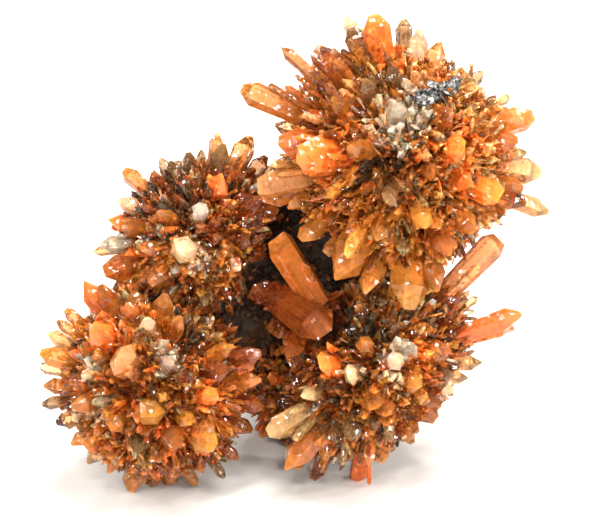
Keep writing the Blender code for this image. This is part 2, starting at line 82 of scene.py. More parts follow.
# %% The sprays and their leading crystals
SPRAYS = {
    "upper_spray": {"centre": (16.6, 16.8, 4.0), "reach": 18.2, "claim": 18.8, "seed": 11},
    "lower_right_spray": {"centre": (11.5, -16.4, 4.0), "reach": 14.4, "claim": 14.8, "seed": 12},
    "lower_left_spray": {"centre": (-23.6, -19.4, 6.0), "reach": 16.8, "claim": 16.8, "seed": 13},
    "left_spray": {"centre": (-15.6, 3.8, 2.0), "reach": 14.4, "claim": 14.8, "seed": 14},
    "middle_spray": {"centre": (1.5, -5.0, 1.0), "reach": 5.0, "claim": 10.5, "seed": 15},
    "rear_spray": {"centre": (2.0, -15.5, -14.0), "reach": 16.5, "claim": 16.5, "seed": 16},
}
LEADING = {
    "upper_spray": [
        (-9.4, 28.4, 6.0, 4.0, 0.5, "amber"), (-3.0, 35.0, 0.0, 2.4, 0.1, "amber"),
        (2.2, 34.6, 8.0, 5.2, 0.6, "amber"), (7.4, 40.0, -4.0, 2.4, 0.2, "honey"),
        (8.3, 38.2, 1.0, 3.8, 0.5, "smoke"), (11.7, 40.3, 4.0, 4.6, 0.5, "fire"),
        (16.6, 39.5, -2.0, 2.8, 0.4, "smoke"), (19.2, 37.8, 3.0, 3.4, 0.3, "blush"),
        (22.4, 36.0, 2.0, 3.0, 0.2, "gold"), (24.6, 33.0, 0.0, 2.4, 0.3, "smoke"),
        (27.7, 32.5, 2.0, 2.8, 0.1, "honey"), (29.3, 31.2, -2.0, 2.0, 0.3, "smoke"),
        (33.6, 27.2, -3.0, 1.6, 0.5, "honey"), (37.3, 24.3, 4.0, 4.4, 0.6, "gold"),
        (34.9, 20.2, 7.0, 3.8, 0.4, "amber"), (38.6, 15.0, 1.0, 4.4, 0.5, "honey"),
        (35.8, 12.5, 6.0, 2.8, 0.4, "amber"), (39.8, 8.6, 1.0, 3.4, 0.3, "honey"),
        (36.2, 10.0, 5.0, 4.0, 0.3, "gold"), (32.2, 11.2, 11.0, 4.8, 0.7, "fire"),
        (26.4, 19.2, 17.0, 5.0, 0.5, "fire"), (30.9, 6.2, 3.0, 1.8, 0.1, "honey"),
        (28.0, 5.5, 12.0, 3.6, 0.4, "amber"), (5.6, -2.2, 13.0, 6.6, 0.1, "gold"),
        (10.4, -4.5, 9.0, 3.6, 0.2, "gold"), (0.0, 4.2, 9.0, 3.2, 0.5, "gold"),
        (-1.8, 9.6, 7.0, 2.6, 0.4, "gold"), (-3.5, 20.0, 11.0, 5.0, 0.4, "fire"),
        (-0.5, 18.0, 16.0, 6.4, 0.5, "fire"), (-6.8, 12.6, 9.0, 4.4, 0.8, "peach"),
        (-4.0, 22.6, 5.0, 2.4, 0.4, "honey"), (7.6, 19.0, 18.0, 3.6, 0.2, "gold"),
        (17.6, -7.0, 9.0, 6.2, 0.4, "gold"), (22.0, -4.2, 9.0, 4.0, 0.2, "gold"),
        (14.9, 32.0, 12.0, 3.8, 0.3, "smoke"), (15.2, 26.0, 18.0, 3.4, 0.3, "ice"),
        (24.4, 25.0, 17.0, 3.0, 0.3, "amber"), (10.2, 30.0, 14.0, 3.2, 0.2, "smoke"),
        (5.0, 26.8, 13.0, 3.0, 0.3, "gold"), (14.0, 10.0, 19.0, 3.0, 0.3, "smoke"),
        (21.4, 14.8, 20.0, 2.8, 0.3, "amber"), (12.2, 4.0, 15.0, 3.2, 0.1, "gold"),
        (24.0, 1.6, 14.0, 3.8, 0.2, "amber"), (20.0, 6.0, 18.0, 3.6, 0.2, "gold"),
        (27.5, 13.0, 16.0, 3.4, 0.3, "fire"), (-6.0, 10.6, 6.0, 3.8, 0.4, "amber"),
        (13.5, -2.5, -4.0, 5.0, 0.6, "rust"), (16.5, -4.0, -6.0, 4.6, 0.5, "rust"),
    ],
    "lower_right_spray": [
        (35.4, -7.6, 3.0, 4.0, 0.3, "fire"), (28.5, -5.0, -2.0, 1.4, 0.5, "honey"),
        (25.3, -3.9, 4.0, 4.4, 0.6, "rust"), (29.2, -15.4, 3.0, 2.6, 0.1, "honey"),
        (26.9, -17.9, 3.0, 2.2, 0.2, "honey"), (24.6, -20.0, 4.0, 2.8, 0.3, "blush"),
        (22.9, -21.8, 5.0, 4.0, 0.5, "amber"), (21.8, -24.6, 4.0, 3.6, 0.6, "amber"),
        (19.0, -26.6, 2.0, 2.0, 0.3, "gold"), (18.0, -28.4, 3.0, 2.4, 0.5, "gold"),
        (14.6, -28.2, 6.0, 2.2, 0.2, "honey"), (11.0, -32.2, 4.0, 2.0, 0.1, "gold"),
        (9.1, -36.0, -4.5, 3.4, 0.2, "fire"), (-2.4, -32.6, 6.0, 4.6, 0.1, "amber"),
        (-5.2, -26.8, 8.0, 3.6, 0.6, "honey"), (2.0, -34.2, -1.0, 2.6, 0.5, "rust"),
        (7.8, -27.8, 11.0, 3.4, 0.4, "smoke"), (11.7, -23.0, 15.0, 4.0, 0.3, "gold"),
        (3.0, -15.6, 13.0, 4.0, 0.7, "fire"), (7.6, -17.6, 15.0, 3.4, 0.5, "blush"),
        (31.8, 4.4, 3.0, 4.4, 0.8, "peach"), (18.4, -12.6, 13.0, 4.0, 0.3, "ice"),
        (24.0, -13.0, 9.0, 4.2, 0.4, "amber"), (19.5, -19.0, 12.0, 3.6, 0.2, "gold"),
        (14.0, -24.0, 13.0, 3.4, 0.3, "amber"), (10.2, -12.0, 14.0, 3.0, 0.3, "gold"),
        (0.3, -21.0, 10.0, 2.8, 0.3, "honey"), (16.0, -15.0, 15.0, 3.2, 0.2, "blush"),
    ],
    "lower_left_spray": [
        (-34.6, -2.4, 3.0, 3.6, 0.1, "fire"), (-32.0, -3.0, 4.0, 3.8, 0.3, "amber"),
        (-37.6, -7.0, 2.0, 2.2, 0.5, "gold"), (-38.9, -8.8, 3.0, 2.2, 0.4, "gold"),
        (-40.3, -10.8, 1.0, 2.8, 0.4, "honey"), (-41.6, -13.8, 4.0, 3.4, 0.4, "gold"),
        (-41.9, -16.0, 0.0, 2.2, 0.3, "honey"), (-41.0, -19.2, 3.0, 2.6, 0.3, "gold"),
        (-41.3, -22.2, 0.0, 2.4, 0.4, "smoke"), (-39.0, -25.2, 3.0, 2.6, 0.4, "honey"),
        (-36.6, -28.6, 1.0, 2.4, 0.3, "gold"), (-34.0, -31.6, 1.0, 2.4, 0.3, "honey"),
        (-30.7, -33.2, 0.0, 2.4, 0.3, "gold"), (-27.0, -36.2, -2.0, 3.6, 0.4, "gold"),
        (-23.4, -36.2, -4.5, 3.0, 0.4, "gold"), (-20.4, -36.0, -5.0, 2.6, 0.3, "amber"),
        (-16.8, -35.2, -3.0, 2.0, 0.4, "gold"), (-12.0, -33.9, 0.0, 1.8, 0.4, "smoke"),
        (-9.8, -31.0, 1.0, 2.0, 0.3, "rust"), (-29.2, -14.2, 17.0, 5.6, 0.6, "peach"),
        (-33.4, -9.4, 11.0, 4.6, 0.3, "fire"), (-24.2, -24.2, 17.0, 5.0, 0.6, "gold"),
        (-26.0, -29.8, 13.0, 3.4, 0.4, "smoke"), (-13.5, -29.0, 11.0, 5.8, 0.4, "gold"),
        (-19.4, -29.0, 13.0, 4.8, 0.4, "amber"), (-13.0, -21.0, 13.0, 3.2, 0.2, "fire"),
        (-17.4, -25.4, 15.0, 2.8, 0.1, "gold"), (-17.3, -17.2, 16.0, 3.0, 0.1, "honey"),
        (-20.8, -15.0, 16.0, 3.2, 0.4, "ice"), (-10.6, -12.6, 8.0, 3.0, 0.1, "gold"),
        (-11.6, -16.4, 10.0, 4.0, 0.4, "rust"), (-6.2, -13.8, 6.0, 3.4, 0.4, "rust"),
        (-6.2, -18.2, 5.0, 2.8, 0.3, "amber"), (-5.8, -22.6, 3.0, 2.8, 0.4, "rust"),
        (-7.6, -26.4, 3.0, 2.8, 0.4, "rust"), (-27.6, -5.8, 8.0, 2.8, 0.3, "amber"),
        (-21.6, -4.4, 7.0, 3.2, 0.4, "gold"), (-19.0, -8.0, 10.0, 2.8, 0.3, "amber"),
        (-24.6, -8.2, 12.0, 2.8, 0.3, "blush"), (-36.5, -22.5, 10.0, 3.6, 0.3, "gold"),
        (-30.5, -26.0, 14.0, 3.6, 0.4, "amber"), (-37.0, -18.6, 9.0, 3.6, 0.2, "amber"),
        (-26.6, -4.0, 4.0, 3.6, 0.4, "amber"),
    ],
    "left_spray": [
        (-28.2, 15.4, 2.0, 2.8, 0.5, "gold"), (-29.1, 10.6, 3.0, 2.6, 0.4, "blush"),
        (-30.7, 7.4, 1.0, 2.8, 0.1, "fire"), (-28.6, 6.6, 7.0, 3.2, 0.7, "amber"),
        (-32.0, 3.4, 2.0, 2.8, 0.3, "ice"), (-33.1, 2.2, -2.0, 1.8, 0.3, "honey"),
        (-31.4, -1.0, 4.0, 4.4, 0.6, "amber"), (-22.4, 17.3, -1.0, 1.8, 0.3, "smoke"),
        (-20.8, 16.8, 3.0, 2.6, 0.3, "smoke"), (-17.9, 18.2, 1.0, 2.8, 0.4, "smoke"),
        (-15.8, 18.6, -2.0, 1.8, 0.3, "smoke"), (-13.1, 21.4, 1.0, 2.4, 0.1, "gold"),
        (-12.2, 19.6, 4.0, 3.6, 0.3, "smoke"), (-8.0, 20.8, 4.0, 3.8, 0.4, "gold"),
        (-12.5, 14.8, 9.0, 4.0, 0.1, "fire"), (-19.2, 15.0, 7.0, 3.0, 0.2, "smoke"),
        (-6.2, 10.9, 7.0, 3.8, 0.4, "rust"), (-6.0, 7.6, 6.0, 4.4, 0.6, "rust"),
        (-16.0, 9.8, 13.0, 2.8, 0.4, "ice"), (-19.4, 2.2, 13.0, 4.8, 0.3, "blush"),
        (-15.2, -6.4, 7.0, 2.2, 0.3, "honey"), (-8.0, 3.8, 9.0, 3.0, 0.3, "rust"),
        (-11.2, -5.4, 7.0, 3.0, 0.2, "amber"), (-9.5, -0.6, 9.0, 2.8, 0.2, "blush"),
        (-25.5, 2.5, 10.0, 3.2, 0.3, "amber"), (-24.0, -3.0, 9.0, 3.8, 0.4, "amber"),
        (-22.8, 8.8, 10.0, 2.8, 0.3, "gold"), (-4.4, 14.6, 1.0, 4.2, 0.4, "amber"),
        (-3.6, 9.6, 2.0, 4.0, 0.5, "rust"), (-30.0, -4.6, 3.0, 4.0, 0.4, "gold"),
        (-4.4, 5.4, -1.0, 3.8, 0.5, "rust"), (-5.4, 1.6, 0.0, 3.4, 0.5, "rust"),
        (-5.4, 17.6, 2.0, 3.0, 0.4, "rust"), (-3.0, 16.0, 1.0, 3.2, 0.5, "smoke"),
    ],
    "middle_spray": [
        (-4.0, 4.5, 4.5, 5.0, 0.9, "silk"), (-8.0, -4.0, 5.0, 4.6, 0.7, "rust"),
        (4.2, -10.9, 11.0, 6.2, 0.6, "russet"), (-1.4, -15.7, 6.0, 4.2, 0.3, "russet"),
        (-4.5, -10.9, 2.5, 5.0, 0.8, "rust"), (8.3, -4.8, 2.5, 3.6, 0.4, "rust"),
    ],
    "rear_spray": [
        (-3.0, -27.0, 6.0, 3.6, 0.3, "rust"), (4.0, -30.0, 2.0, 3.6, 0.3, "amber"),
        (-7.5, -21.5, 7.0, 3.2, 0.3, "rust"),
    ],
}
CENTRES = {name: seen(spray["centre"]) for name, spray in SPRAYS.items()}
MIDDLE_ROOTS = [
    (3.0, -6.2, 3.0), (1.5, -6.0, 1.0), (-4.0, -4.4, 0.0),
    (0.5, -9.6, 1.0), (1.5, -5.6, 0.0), (3.5, -6.5, 1.0),
]
print("leading crystals:", {name: len(rows) for name, rows in LEADING.items()})

# %% [markdown]
# A kind of crystal is a colour and a cloudiness. The colour is what the thick part of the crystal
# shows, and the cloudiness is how much of it is milky instead of clear. Colours are linear values.
# Coal stands for the black mineral of the matrix, and stain for its rusty grains.

# %% The kinds of crystal
KINDS = {
    "coal": ((0.024, 0.013, 0.008), 1.00),
    "stain": ((0.110, 0.032, 0.009), 1.00),
    "rust": ((0.34, 0.062, 0.010), 0.30),
    "smoke": ((0.28, 0.130, 0.042), 0.22),
    "amber": ((0.66, 0.190, 0.028), 0.28),
    "silk": ((0.56, 0.145, 0.022), 0.80),
    "russet": ((0.46, 0.095, 0.013), 0.45),
    "fire": ((0.76, 0.140, 0.016), 0.76),
    "gold": ((0.80, 0.270, 0.036), 0.32),
    "peach": ((0.86, 0.340, 0.105), 0.55),
    "blush": ((0.88, 0.540, 0.310), 0.45),
    "honey": ((0.95, 0.560, 0.220), 0.20),
    "ice": ((0.88, 0.710, 0.520), 0.36),
}
KIND_NAMES = list(KINDS)
KIND_COLOURS = np.array([colour for colour, _ in KINDS.values()])
KIND_CLOUD = np.array([cloud for _, cloud in KINDS.values()])
print("kinds of crystal:", ", ".join(KIND_NAMES))

# %% [markdown]
# Many crystals are worked out at once as arrays: row number i of every array belongs to crystal i. The
# smaller helpers here only cut, join and repeat such arrays.

# %% Crystals as arrays
ROOT_SHARE = 0.42
LEADING_SLANT = 0.12
MIDDLE_FOOT, LEADING_FOOT = 0.95, 0.65


def crystals_of(**arrays):
    """Arrays by name: root, tip, width, flat, blunt, slant, roll, foot and kind, with a row to a crystal.

    Flat is the depth and foot the width at the root, both as shares of the width. Blunt is the length
    of the ridge at the end, slant the slope of the shoulder, and roll the turn about the axis.
    """
    count = len(arrays["width"])
    return {name: np.broadcast_to(rows, (count, *np.shape(rows)[1:])) for name, rows in arrays.items()}


def joined(*groups):
    return {key: np.concatenate([group[key] for group in groups]) for key in groups[0]}


def chosen(group, which):
    return {key: values[which] for key, values in group.items()}


def unit(vectors):
    return vectors / np.linalg.norm(vectors, axis=-1, keepdims=True)


def leading_crystals(name):
    """Each runs to its listed tip from a share of the reach, or from the root listed for the middle."""
    rng = np.random.default_rng(SPRAYS[name]["seed"])
    rows = LEADING[name]
    places = np.array([row[:3] for row in rows]) + [0, 0, SPRAYS[name]["centre"][2]]
    tip, centre, count = seen(places), CENTRES[name], len(rows)
    drawn = np.array([(rng.uniform(0.55, 0.85), math.radians(rng.uniform(-30, 30))) for _ in rows])
    width = np.array([row[3] for row in rows])
    blunt = np.array([row[4] for row in rows])
    kind = np.array([KIND_NAMES.index(row[5]) for row in rows])
    root = centre + unit(tip - centre) * ROOT_SHARE * SPRAYS[name]["reach"]
    if name == "middle_spray":
        root = seen(MIDDLE_ROOTS)
    return crystals_of(
        root=root,
        tip=tip,
        width=width,
        flat=drawn[:, 0],
        blunt=blunt,
        slant=np.full(count, LEADING_SLANT),
        roll=drawn[:, 1],
        foot=np.full(count, MIDDLE_FOOT if name == "middle_spray" else LEADING_FOOT),
        kind=kind,
    )


# %% [markdown]
# Creedite prisms are rarely single. Thinner ones grow along a large one's sides, nearly parallel to it
# and ending a little lower, and their steps are what makes a large crystal look striated. Every leading
# crystal gets companions, and later the long ordinary ones do too.

# %% Companions of a crystal
def companions(group, each, rng):
    """Copies moved sideways by 0.25 to 0.5 of the width, drawn back along it, and much thinner."""
    many = chosen(group, np.repeat(np.arange(len(group["width"])), each))
    count = len(many["width"])
    along = unit(many["tip"] - many["root"])
    side = unit(np.cross(along, rng.normal(size=(count, 3))))
    moved = side * (many["width"] * rng.uniform(0.25, 0.50, count))[:, None]
    length = np.linalg.norm(many["tip"] - many["root"], axis=1)
    back = along * (length * rng.uniform(0.06, 0.45, count))[:, None]
    lean = side * (length * rng.uniform(-0.02, 0.10, count))[:, None]
    many["root"] = many["root"] + moved * 0.5
    many["tip"] = many["tip"] + moved - back + lean
    many["width"] = many["width"] * rng.uniform(0.20, 0.48, count)
    many["flat"] = rng.uniform(0.6, 1.0, count)
    many["blunt"] = rng.uniform(0.05, 0.8, count)
    many["slant"] = rng.uniform(0.1, 0.6, count)
    many["roll"] = many["roll"] + rng.normal(0, 0.35, count)
    return many


# %% [markdown]
# No ball is the same all over. A spot is a round area of its surface with a mix of kinds of its own,
# such as the pale sugar on the upper ball, and some spots are pits where growth stayed behind. A row
# holds its place across and up, its size, the share of the reach that growth got to there, and the mix.

# %% Spots on the balls
SPOTS = {
    "upper_spray": [
        (16.6, 25.4, 7.6, 1.0, {"blush": 0.50, "ice": 0.42, "gold": 0.08}),
        (12.6, 31.2, 3.6, 1.0, {"smoke": 0.40, "honey": 0.30, "gold": 0.30}),
        (11.5, 14.5, 4.8, 0.70, {"rust": 0.45, "smoke": 0.20, "coal": 0.35}),
        (12.8, 6.6, 7.0, 1.0, {"gold": 0.60, "amber": 0.30, "honey": 0.10}),
        (27.5, 18.5, 6.5, 1.0, {"fire": 0.30, "gold": 0.30, "peach": 0.30, "honey": 0.10}),
        (32.0, 12.5, 5.0, 1.0, {"honey": 0.50, "gold": 0.35, "ice": 0.15}),
        (2.5, 24.0, 5.5, 1.0, {"amber": 0.50, "rust": 0.15, "peach": 0.20, "gold": 0.15}),
    ],
    "left_spray": [
        (-16.0, 0.6, 4.2, 1.0, {"blush": 0.60, "gold": 0.20, "ice": 0.20}),
        (-21.0, 10.0, 5.0, 0.82, {"smoke": 0.42, "coal": 0.38, "rust": 0.20}),
        (-26.5, -2.0, 4.5, 1.0, {"amber": 0.50, "gold": 0.40, "fire": 0.10}),
        (-11.0, 6.0, 5.0, 0.9, {"rust": 0.55, "amber": 0.25, "smoke": 0.20}),
    ],
    "lower_left_spray": [
        (-33.0, -9.5, 4.5, 1.0, {"fire": 0.65, "amber": 0.35}),
        (-35.5, -14.5, 2.6, 1.0, {"ice": 0.70, "blush": 0.30}),
        (-19.0, -14.2, 3.4, 1.0, {"ice": 0.70, "smoke": 0.30}),
        (-14.0, -9.5, 6.0, 0.85, {"rust": 0.35, "smoke": 0.28, "coal": 0.25, "amber": 0.12}),
        (-29.5, -20.8, 2.6, 0.75, {"rust": 0.60, "smoke": 0.25, "coal": 0.15}),
        (-35.5, -25.0, 6.0, 1.0, {"blush": 0.35, "gold": 0.35, "amber": 0.20, "honey": 0.10}),
        (-13.0, -26.0, 5.5, 1.0, {"amber": 0.50, "gold": 0.35, "fire": 0.15}),
    ],
    "lower_right_spray": [
        (11.5, -10.5, 6.2, 0.80, {"coal": 0.36, "smoke": 0.26, "rust": 0.22, "amber": 0.16}),
        (15.6, -14.5, 3.2, 1.0, {"ice": 0.60, "blush": 0.30, "smoke": 0.10}),
        (22.0, -14.0, 5.0, 1.0, {"gold": 0.50, "amber": 0.30, "fire": 0.20}),
        (17.0, -19.5, 4.0, 1.0, {"blush": 0.45, "amber": 0.30, "gold": 0.25}),
    ],
}


def on_ball(name, across, up, share):
    """The place on a ball, at a share of its reach, that the eye sees at across and up."""
    middle, reach = np.array(SPRAYS[name]["centre"]), SPRAYS[name]["reach"]
    aside = (across - middle[0]) ** 2 + (up - middle[1]) ** 2
    return np.stack([across, up, middle[2] + np.sqrt(np.maximum((share * reach) ** 2 - aside, 0))], axis=-1)


def nearness(name, ways, across, up, size):
    """1 at the spot and 0 far from it: exp(-(distance over the ball / the spot's size)^4)."""
    spot = unit(seen(on_ball(name, across, up, 1.0)) - CENTRES[name])
    return np.exp(-((np.linalg.norm(ways - spot, axis=1) * SPRAYS[name]["reach"] / size) ** 4))


def spotted(name, ways, kinds, rng):
    """A crystal takes one of the spot's kinds with a chance that is its nearness."""
    for across, up, size, _, mix in SPOTS.get(name, []):
        taken = rng.uniform(0, 1, len(ways)) < nearness(name, ways, across, up, size)
        drawn = rng.choice([KIND_NAMES.index(kind) for kind in mix], len(ways), p=list(mix.values()))
        kinds = np.where(taken, drawn, kinds)
    return kinds


print("spots:", {name: len(rows) for name, rows in SPOTS.items()})

# %% [markdown]
# Between the leading crystals the ball is packed with ordinary ones. They start evenly spread over the
# sphere, by the golden angle, and each grows until its own length is reached, or until it meets the
# growth of a neighbouring ball, or the surface that the cluster stands on.

# %% Room for growth
def spread(count, rng, shift):
    """Golden-angle points on a sphere: even steps in height, turned by 137.5 degrees, then shifted."""
    step = np.arange(count)
    height = 1 - (2 * step + 1) / count
    ring = np.sqrt(1 - height**2)
    turn = step * math.pi * (3 - math.sqrt(5)) + rng.uniform(0, 2 * math.pi)
    ways = np.stack([ring * np.cos(turn), ring * np.sin(turn), height], axis=1)
    return unit(ways + rng.normal(0, shift, (count, 3)))


HOLLOW_CENTRE, HOLLOW_RADIUS = seen((-0.5, -4.5, 9.0)), 9.5
INTERLOCK = 2.2
ARM_SHARPNESS, ARM_SHARE, ROUND_WEIGHT = 14.0, 0.92, 0.5
LEAST_ENTRY, LEAST_REACH, LEAST_HEIGHT = 0.5, 0.38, 0.4
TINY = 1e-6


def envelope(name, ways):
    """The ball's reach, drawn out towards each leading crystal.

    It is a mean of 0.92 of each crystal's length, weighted by exp(14 (cosine of the angle to it - 1)),
    and of the reach, weighted by a half. A spot's depth then lowers it there.
    """
    leading = leading_crystals(name)
    arms = leading["tip"] - CENTRES[name]
    weights = np.exp(ARM_SHARPNESS * (ways @ unit(arms).T - 1))
    lengths = np.linalg.norm(arms, axis=1)
    drawn = weights @ lengths * ARM_SHARE + ROUND_WEIGHT * SPRAYS[name]["reach"]
    free = drawn / (weights.sum(axis=1) + ROUND_WEIGHT)
    for across, up, size, depth, _ in SPOTS.get(name, []):
        free = free * (1 - (1 - depth) * nearness(name, ways, across, up, size))
    return free


def room(name, ways):
    """How far growth gets each way: to the envelope, or to where something stops it.

    Two growing balls stop a little past the plane where they meet, so that their crystals interlock.
    The hollow in the middle is a sphere that stays open, and the ground stops everything.
    """
    centre, claim = CENTRES[name], SPRAYS[name]["claim"]
    if name == "middle_spray":
        free = np.full(len(ways), SPRAYS[name]["reach"])
    else:
        free = envelope(name, ways)
        facing = ways @ (HOLLOW_CENTRE - centre)
        inside = HOLLOW_RADIUS**2 - ((HOLLOW_CENTRE - centre) ** 2).sum() + facing**2
        least = LEAST_ENTRY * SPRAYS[name]["reach"]
        entry = np.maximum(facing - np.sqrt(np.maximum(inside, 0)), least)
        free = np.where((inside > 0) & (facing > 0), np.minimum(free, entry), free)
    for other in SPRAYS:
        span = CENTRES[other] - centre
        facing = ways @ span
        limit = (span @ span + claim**2 - SPRAYS[other]["claim"] ** 2) / 2
        if other != name:
            met = limit / np.maximum(facing, TINY) + INTERLOCK
            free = np.where(facing > 0, np.minimum(free, met), free)
    down = -ways[:, 2]
    ground = centre[2] / np.maximum(down, TINY)
    return np.where(down > 0, np.minimum(free, ground), free)


print("room to the right and up in the upper ball:", room("upper_spray", np.array([ACROSS, UP])))

# %% [markdown]
# On the real balls, crystals of one kind stand together in loose patches. So a slow wave over the place
# has a say in which kind a crystal is, instead of chance alone.

# %% Ordinary crystals
def patches(places, kinds, rng):
    """Slow waves over the place, plus noise, are ranked, and the rank picks from the kinds in their order."""
    count, steepness, noise = 7, 0.30, 1.5
    waves = rng.normal(0, steepness, (3, count))
    field = np.sin(places @ waves + rng.uniform(0, 2 * math.pi, count)).sum(axis=1)
    rank = (field + rng.normal(0, noise, len(places))).argsort().argsort() / len(places)
    shares = np.cumsum(list(kinds.values()))
    picked = np.searchsorted(shares / shares[-1], rank, side="right")
    return np.array([KIND_NAMES.index(kind) for kind in kinds])[picked]


def ordinary_crystals(name, fans, each, lengths, widths, deep, lean, kinds, rng):
    """Fans of crystals whose tips lie in the crust of the ball.

    Tip = centre + way times the room there times the fan's share of it. A fan's crystals share one
    lean, so they don't all point at the centre, and each adds a few degrees of its own. Those that the
    hollow, a neighbour or the ground stopped too early are left out.
    """
    own = np.repeat(np.arange(fans), each)
    count = len(own)
    way = unit(spread(fans, rng, 0.08)[own] + rng.normal(0, 0.10 if each > 1 else 0.0, (count, 3)))
    reach, centre = SPRAYS[name]["reach"], CENTRES[name]
    far = room(name, way) * rng.uniform(*lengths, fans)[own] * rng.uniform(0.92, 1.0, count)
    heading = unit(way + rng.uniform(-lean, lean, (fans, 3))[own] + rng.uniform(-0.1, 0.1, (count, 3)))
    tip = centre + way * far[:, None]
    made = crystals_of(
        root=tip - heading * (deep * far)[:, None],
        tip=tip,
        width=widths[0] + (widths[1] - widths[0]) * rng.uniform(0, 1, count) ** 1.8,
        flat=rng.uniform(0.4, 0.95, count),
        blunt=rng.uniform(0.02, 0.95, count),
        slant=rng.uniform(0.1, 0.9, count),
        roll=rng.uniform(0, 2 * math.pi, count),
        foot=np.full(count, 0.5),
        kind=spotted(name, way, patches(tip, kinds, rng), rng),
    )
    return chosen(made, (far > LEAST_REACH * reach) & (tip[:, 2] > LEAST_HEIGHT))


# %% [markdown]
# A crystal is a prism of four or six sides that widens from its root, with a roof at its end: the two
# ends of a ridge stand over the corners of a slanting shoulder. All crystals of a spray go into one
# mesh with flat faces, so that a face shines as a whole or not at all, as on the real thing.

# %% From arrays to corners and faces
def crystal_faces(sides):
    """Corners are numbered: shoulder, then foot, then the ridge's two ends."""
    one, two = 2 * sides, 2 * sides + 1
    walls = [(sides + k, sides + (k + 1) % sides, (k + 1) % sides, k) for k in range(sides)]
    foot = [tuple(range(2 * sides - 1, sides - 1, -1))]
    roof = {
        4: [(0, 1, one), (1, 2, two), (1, two, one), (2, 3, two), (3, 0, one), (3, one, two)],
        6: [(0, 1, one), (1, 2, two, one), (2, 3, two), (3, 4, two), (4, 5, one, two), (5, 0, one)],
    }
    return walls + foot + roof[sides]


SECTIONS = {
    4: np.array([(1.0, 0.0), (0.0, 1.0), (-1.0, 0.0), (0.0, -1.0)]).T,
    6: np.array([(1.0, 0.0), (0.48, 1.0), (-0.48, 1.0), (-1.0, 0.0), (-0.48, -1.0), (0.48, -1.0)]).T,
}


def crystal_corners(group, sides, rng):
    """Corner = a point on the axis + broad times x half widths + thin times y half depths.

    The shoulder lies below the tip by 0.75 of the width, or less where the end is blunt. It is lifted
    along the axis by a slope in x and y, so that no two ends are alike.
    """
    root, tip, width = group["root"], group["tip"], group["width"]
    count, along = len(width), unit(tip - root)
    broad = np.cross(along, NEAR)
    broad = np.where(np.linalg.norm(broad, axis=1, keepdims=True) < 0.2, np.cross(along, UP), broad)
    broad = unit(broad)
    turn = group["roll"][:, None]
    broad = broad * np.cos(turn) + np.cross(along, broad) * np.sin(turn)
    thin = np.cross(along, broad)
    x, y = SECTIONS[sides]
    half, depth = width[:, None] / 2, (width * group["flat"])[:, None] / 2
    section = (x * half)[..., None] * broad[:, None] + (y * depth)[..., None] * thin[:, None]
    roof = (width * (0.75 - 0.45 * group["blunt"]))[:, None]
    slope = rng.normal(0, 1, (count, 2)) * group["slant"][:, None] * half
    rise = np.clip(x * slope[:, :1] + y * slope[:, 1:], -2 * roof, 0.8 * roof)
    shoulder = (tip - along * roof)[:, None] + section + rise[..., None] * along[:, None]
    ridge = (np.maximum(group["blunt"], 0.06) * 0.8)[:, None] * half * [1.0, -0.8]
    ends = tip[:, None] + ridge[..., None] * broad[:, None]
    foot = group["foot"][:, None]
    corners = np.concatenate([shoulder, root[:, None] + foot[..., None] * section, ends], axis=1)
    corners[..., 2] = np.maximum(corners[..., 2], 0.0)
    return corners, np.concatenate([x * half, foot * x * half, ridge], axis=1)


print("faces of a crystal with six sides:", len(crystal_faces(6)))

# %% [markdown]
# Colour and cloudiness are worked out at the corners, and blend over the faces: a crystal's root is
# milky and darkened by painted shade, where it grows out of the others, and its end is paled by painted
# light, as if lit through.

# %% Colour and cloudiness
def crystal_tints(group, sides, rng):
    """Colour = the kind's own, varied by a fifth, with painted shade at the root and painted light at the
    end.

    Coal keeps one colour from root to end. Roots are milky, and ends a little more so than the shoulder.
    """
    count = len(group["width"])
    kind_colour = KIND_COLOURS[group["kind"]]
    brightness = rng.uniform(0.75, 1.2, (count, 1))
    own = kind_colour * brightness * rng.uniform(0.93, 1.07, (count, 3))
    # Painted shade darkens the root among the others; painted light pales the end as if lit through.
    dark = own * [0.78, 0.62, 0.50]
    pale = np.clip(own * 1.2 + [0.06, 0.045, 0.012], 0, 1)
    not_coal = kind_colour[:, :1] > 0.1
    parts = [(own, sides), (np.where(not_coal, dark, own), sides), (np.where(not_coal, pale, own), 2)]
    tints = np.concatenate([np.repeat(colour[:, None], times, axis=1) for colour, times in parts], axis=1)
    cloud = (KIND_CLOUD[group["kind"]] + rng.normal(0, 0.12, count))[:, None]
    clouds = [np.tile(cloud, sides), np.ones((count, sides)), np.tile(cloud + 0.1, 2)]
    return np.clip(tints, 0, 1), np.clip(np.concatenate(clouds, axis=1), 0.0, 1.0)


# %% [markdown]
# A shape is kept as plain arrays until it becomes a mesh: points, faces, and what the material reads
# at every point, which is a colour, a cloudiness, how broken the surface is, and a place in the pattern
# of growth lines.

# %% Shapes and pieces
def crystal_shape(group, sides, rng, broken=1.0):
    """The crystals of a group as one shape. Each reads its own stretch of the growth lines."""
    corners, across = crystal_corners(group, sides, rng)
    tints, cloudy = crystal_tints(group, sides, rng)
    count, size = corners.shape[:2]
    firsts = np.arange(count)[:, None] * size
    along = np.einsum("nvk,nk->nv", corners - group["root"][:, None], unit(group["tip"] - group["root"]))
    shift = rng.uniform(0, 400, (count, 1))
    return {
        "points": corners.reshape(-1, 3),
        "faces": [firsts + np.array(face) for face in crystal_faces(sides)],
        "tint": tints.reshape(-1, 3),
        "cloud": cloudy.ravel(),
        "broken": np.full(count * size, broken),
        "growth": np.stack([across + shift, along + shift], axis=2).reshape(-1, 2),
    }


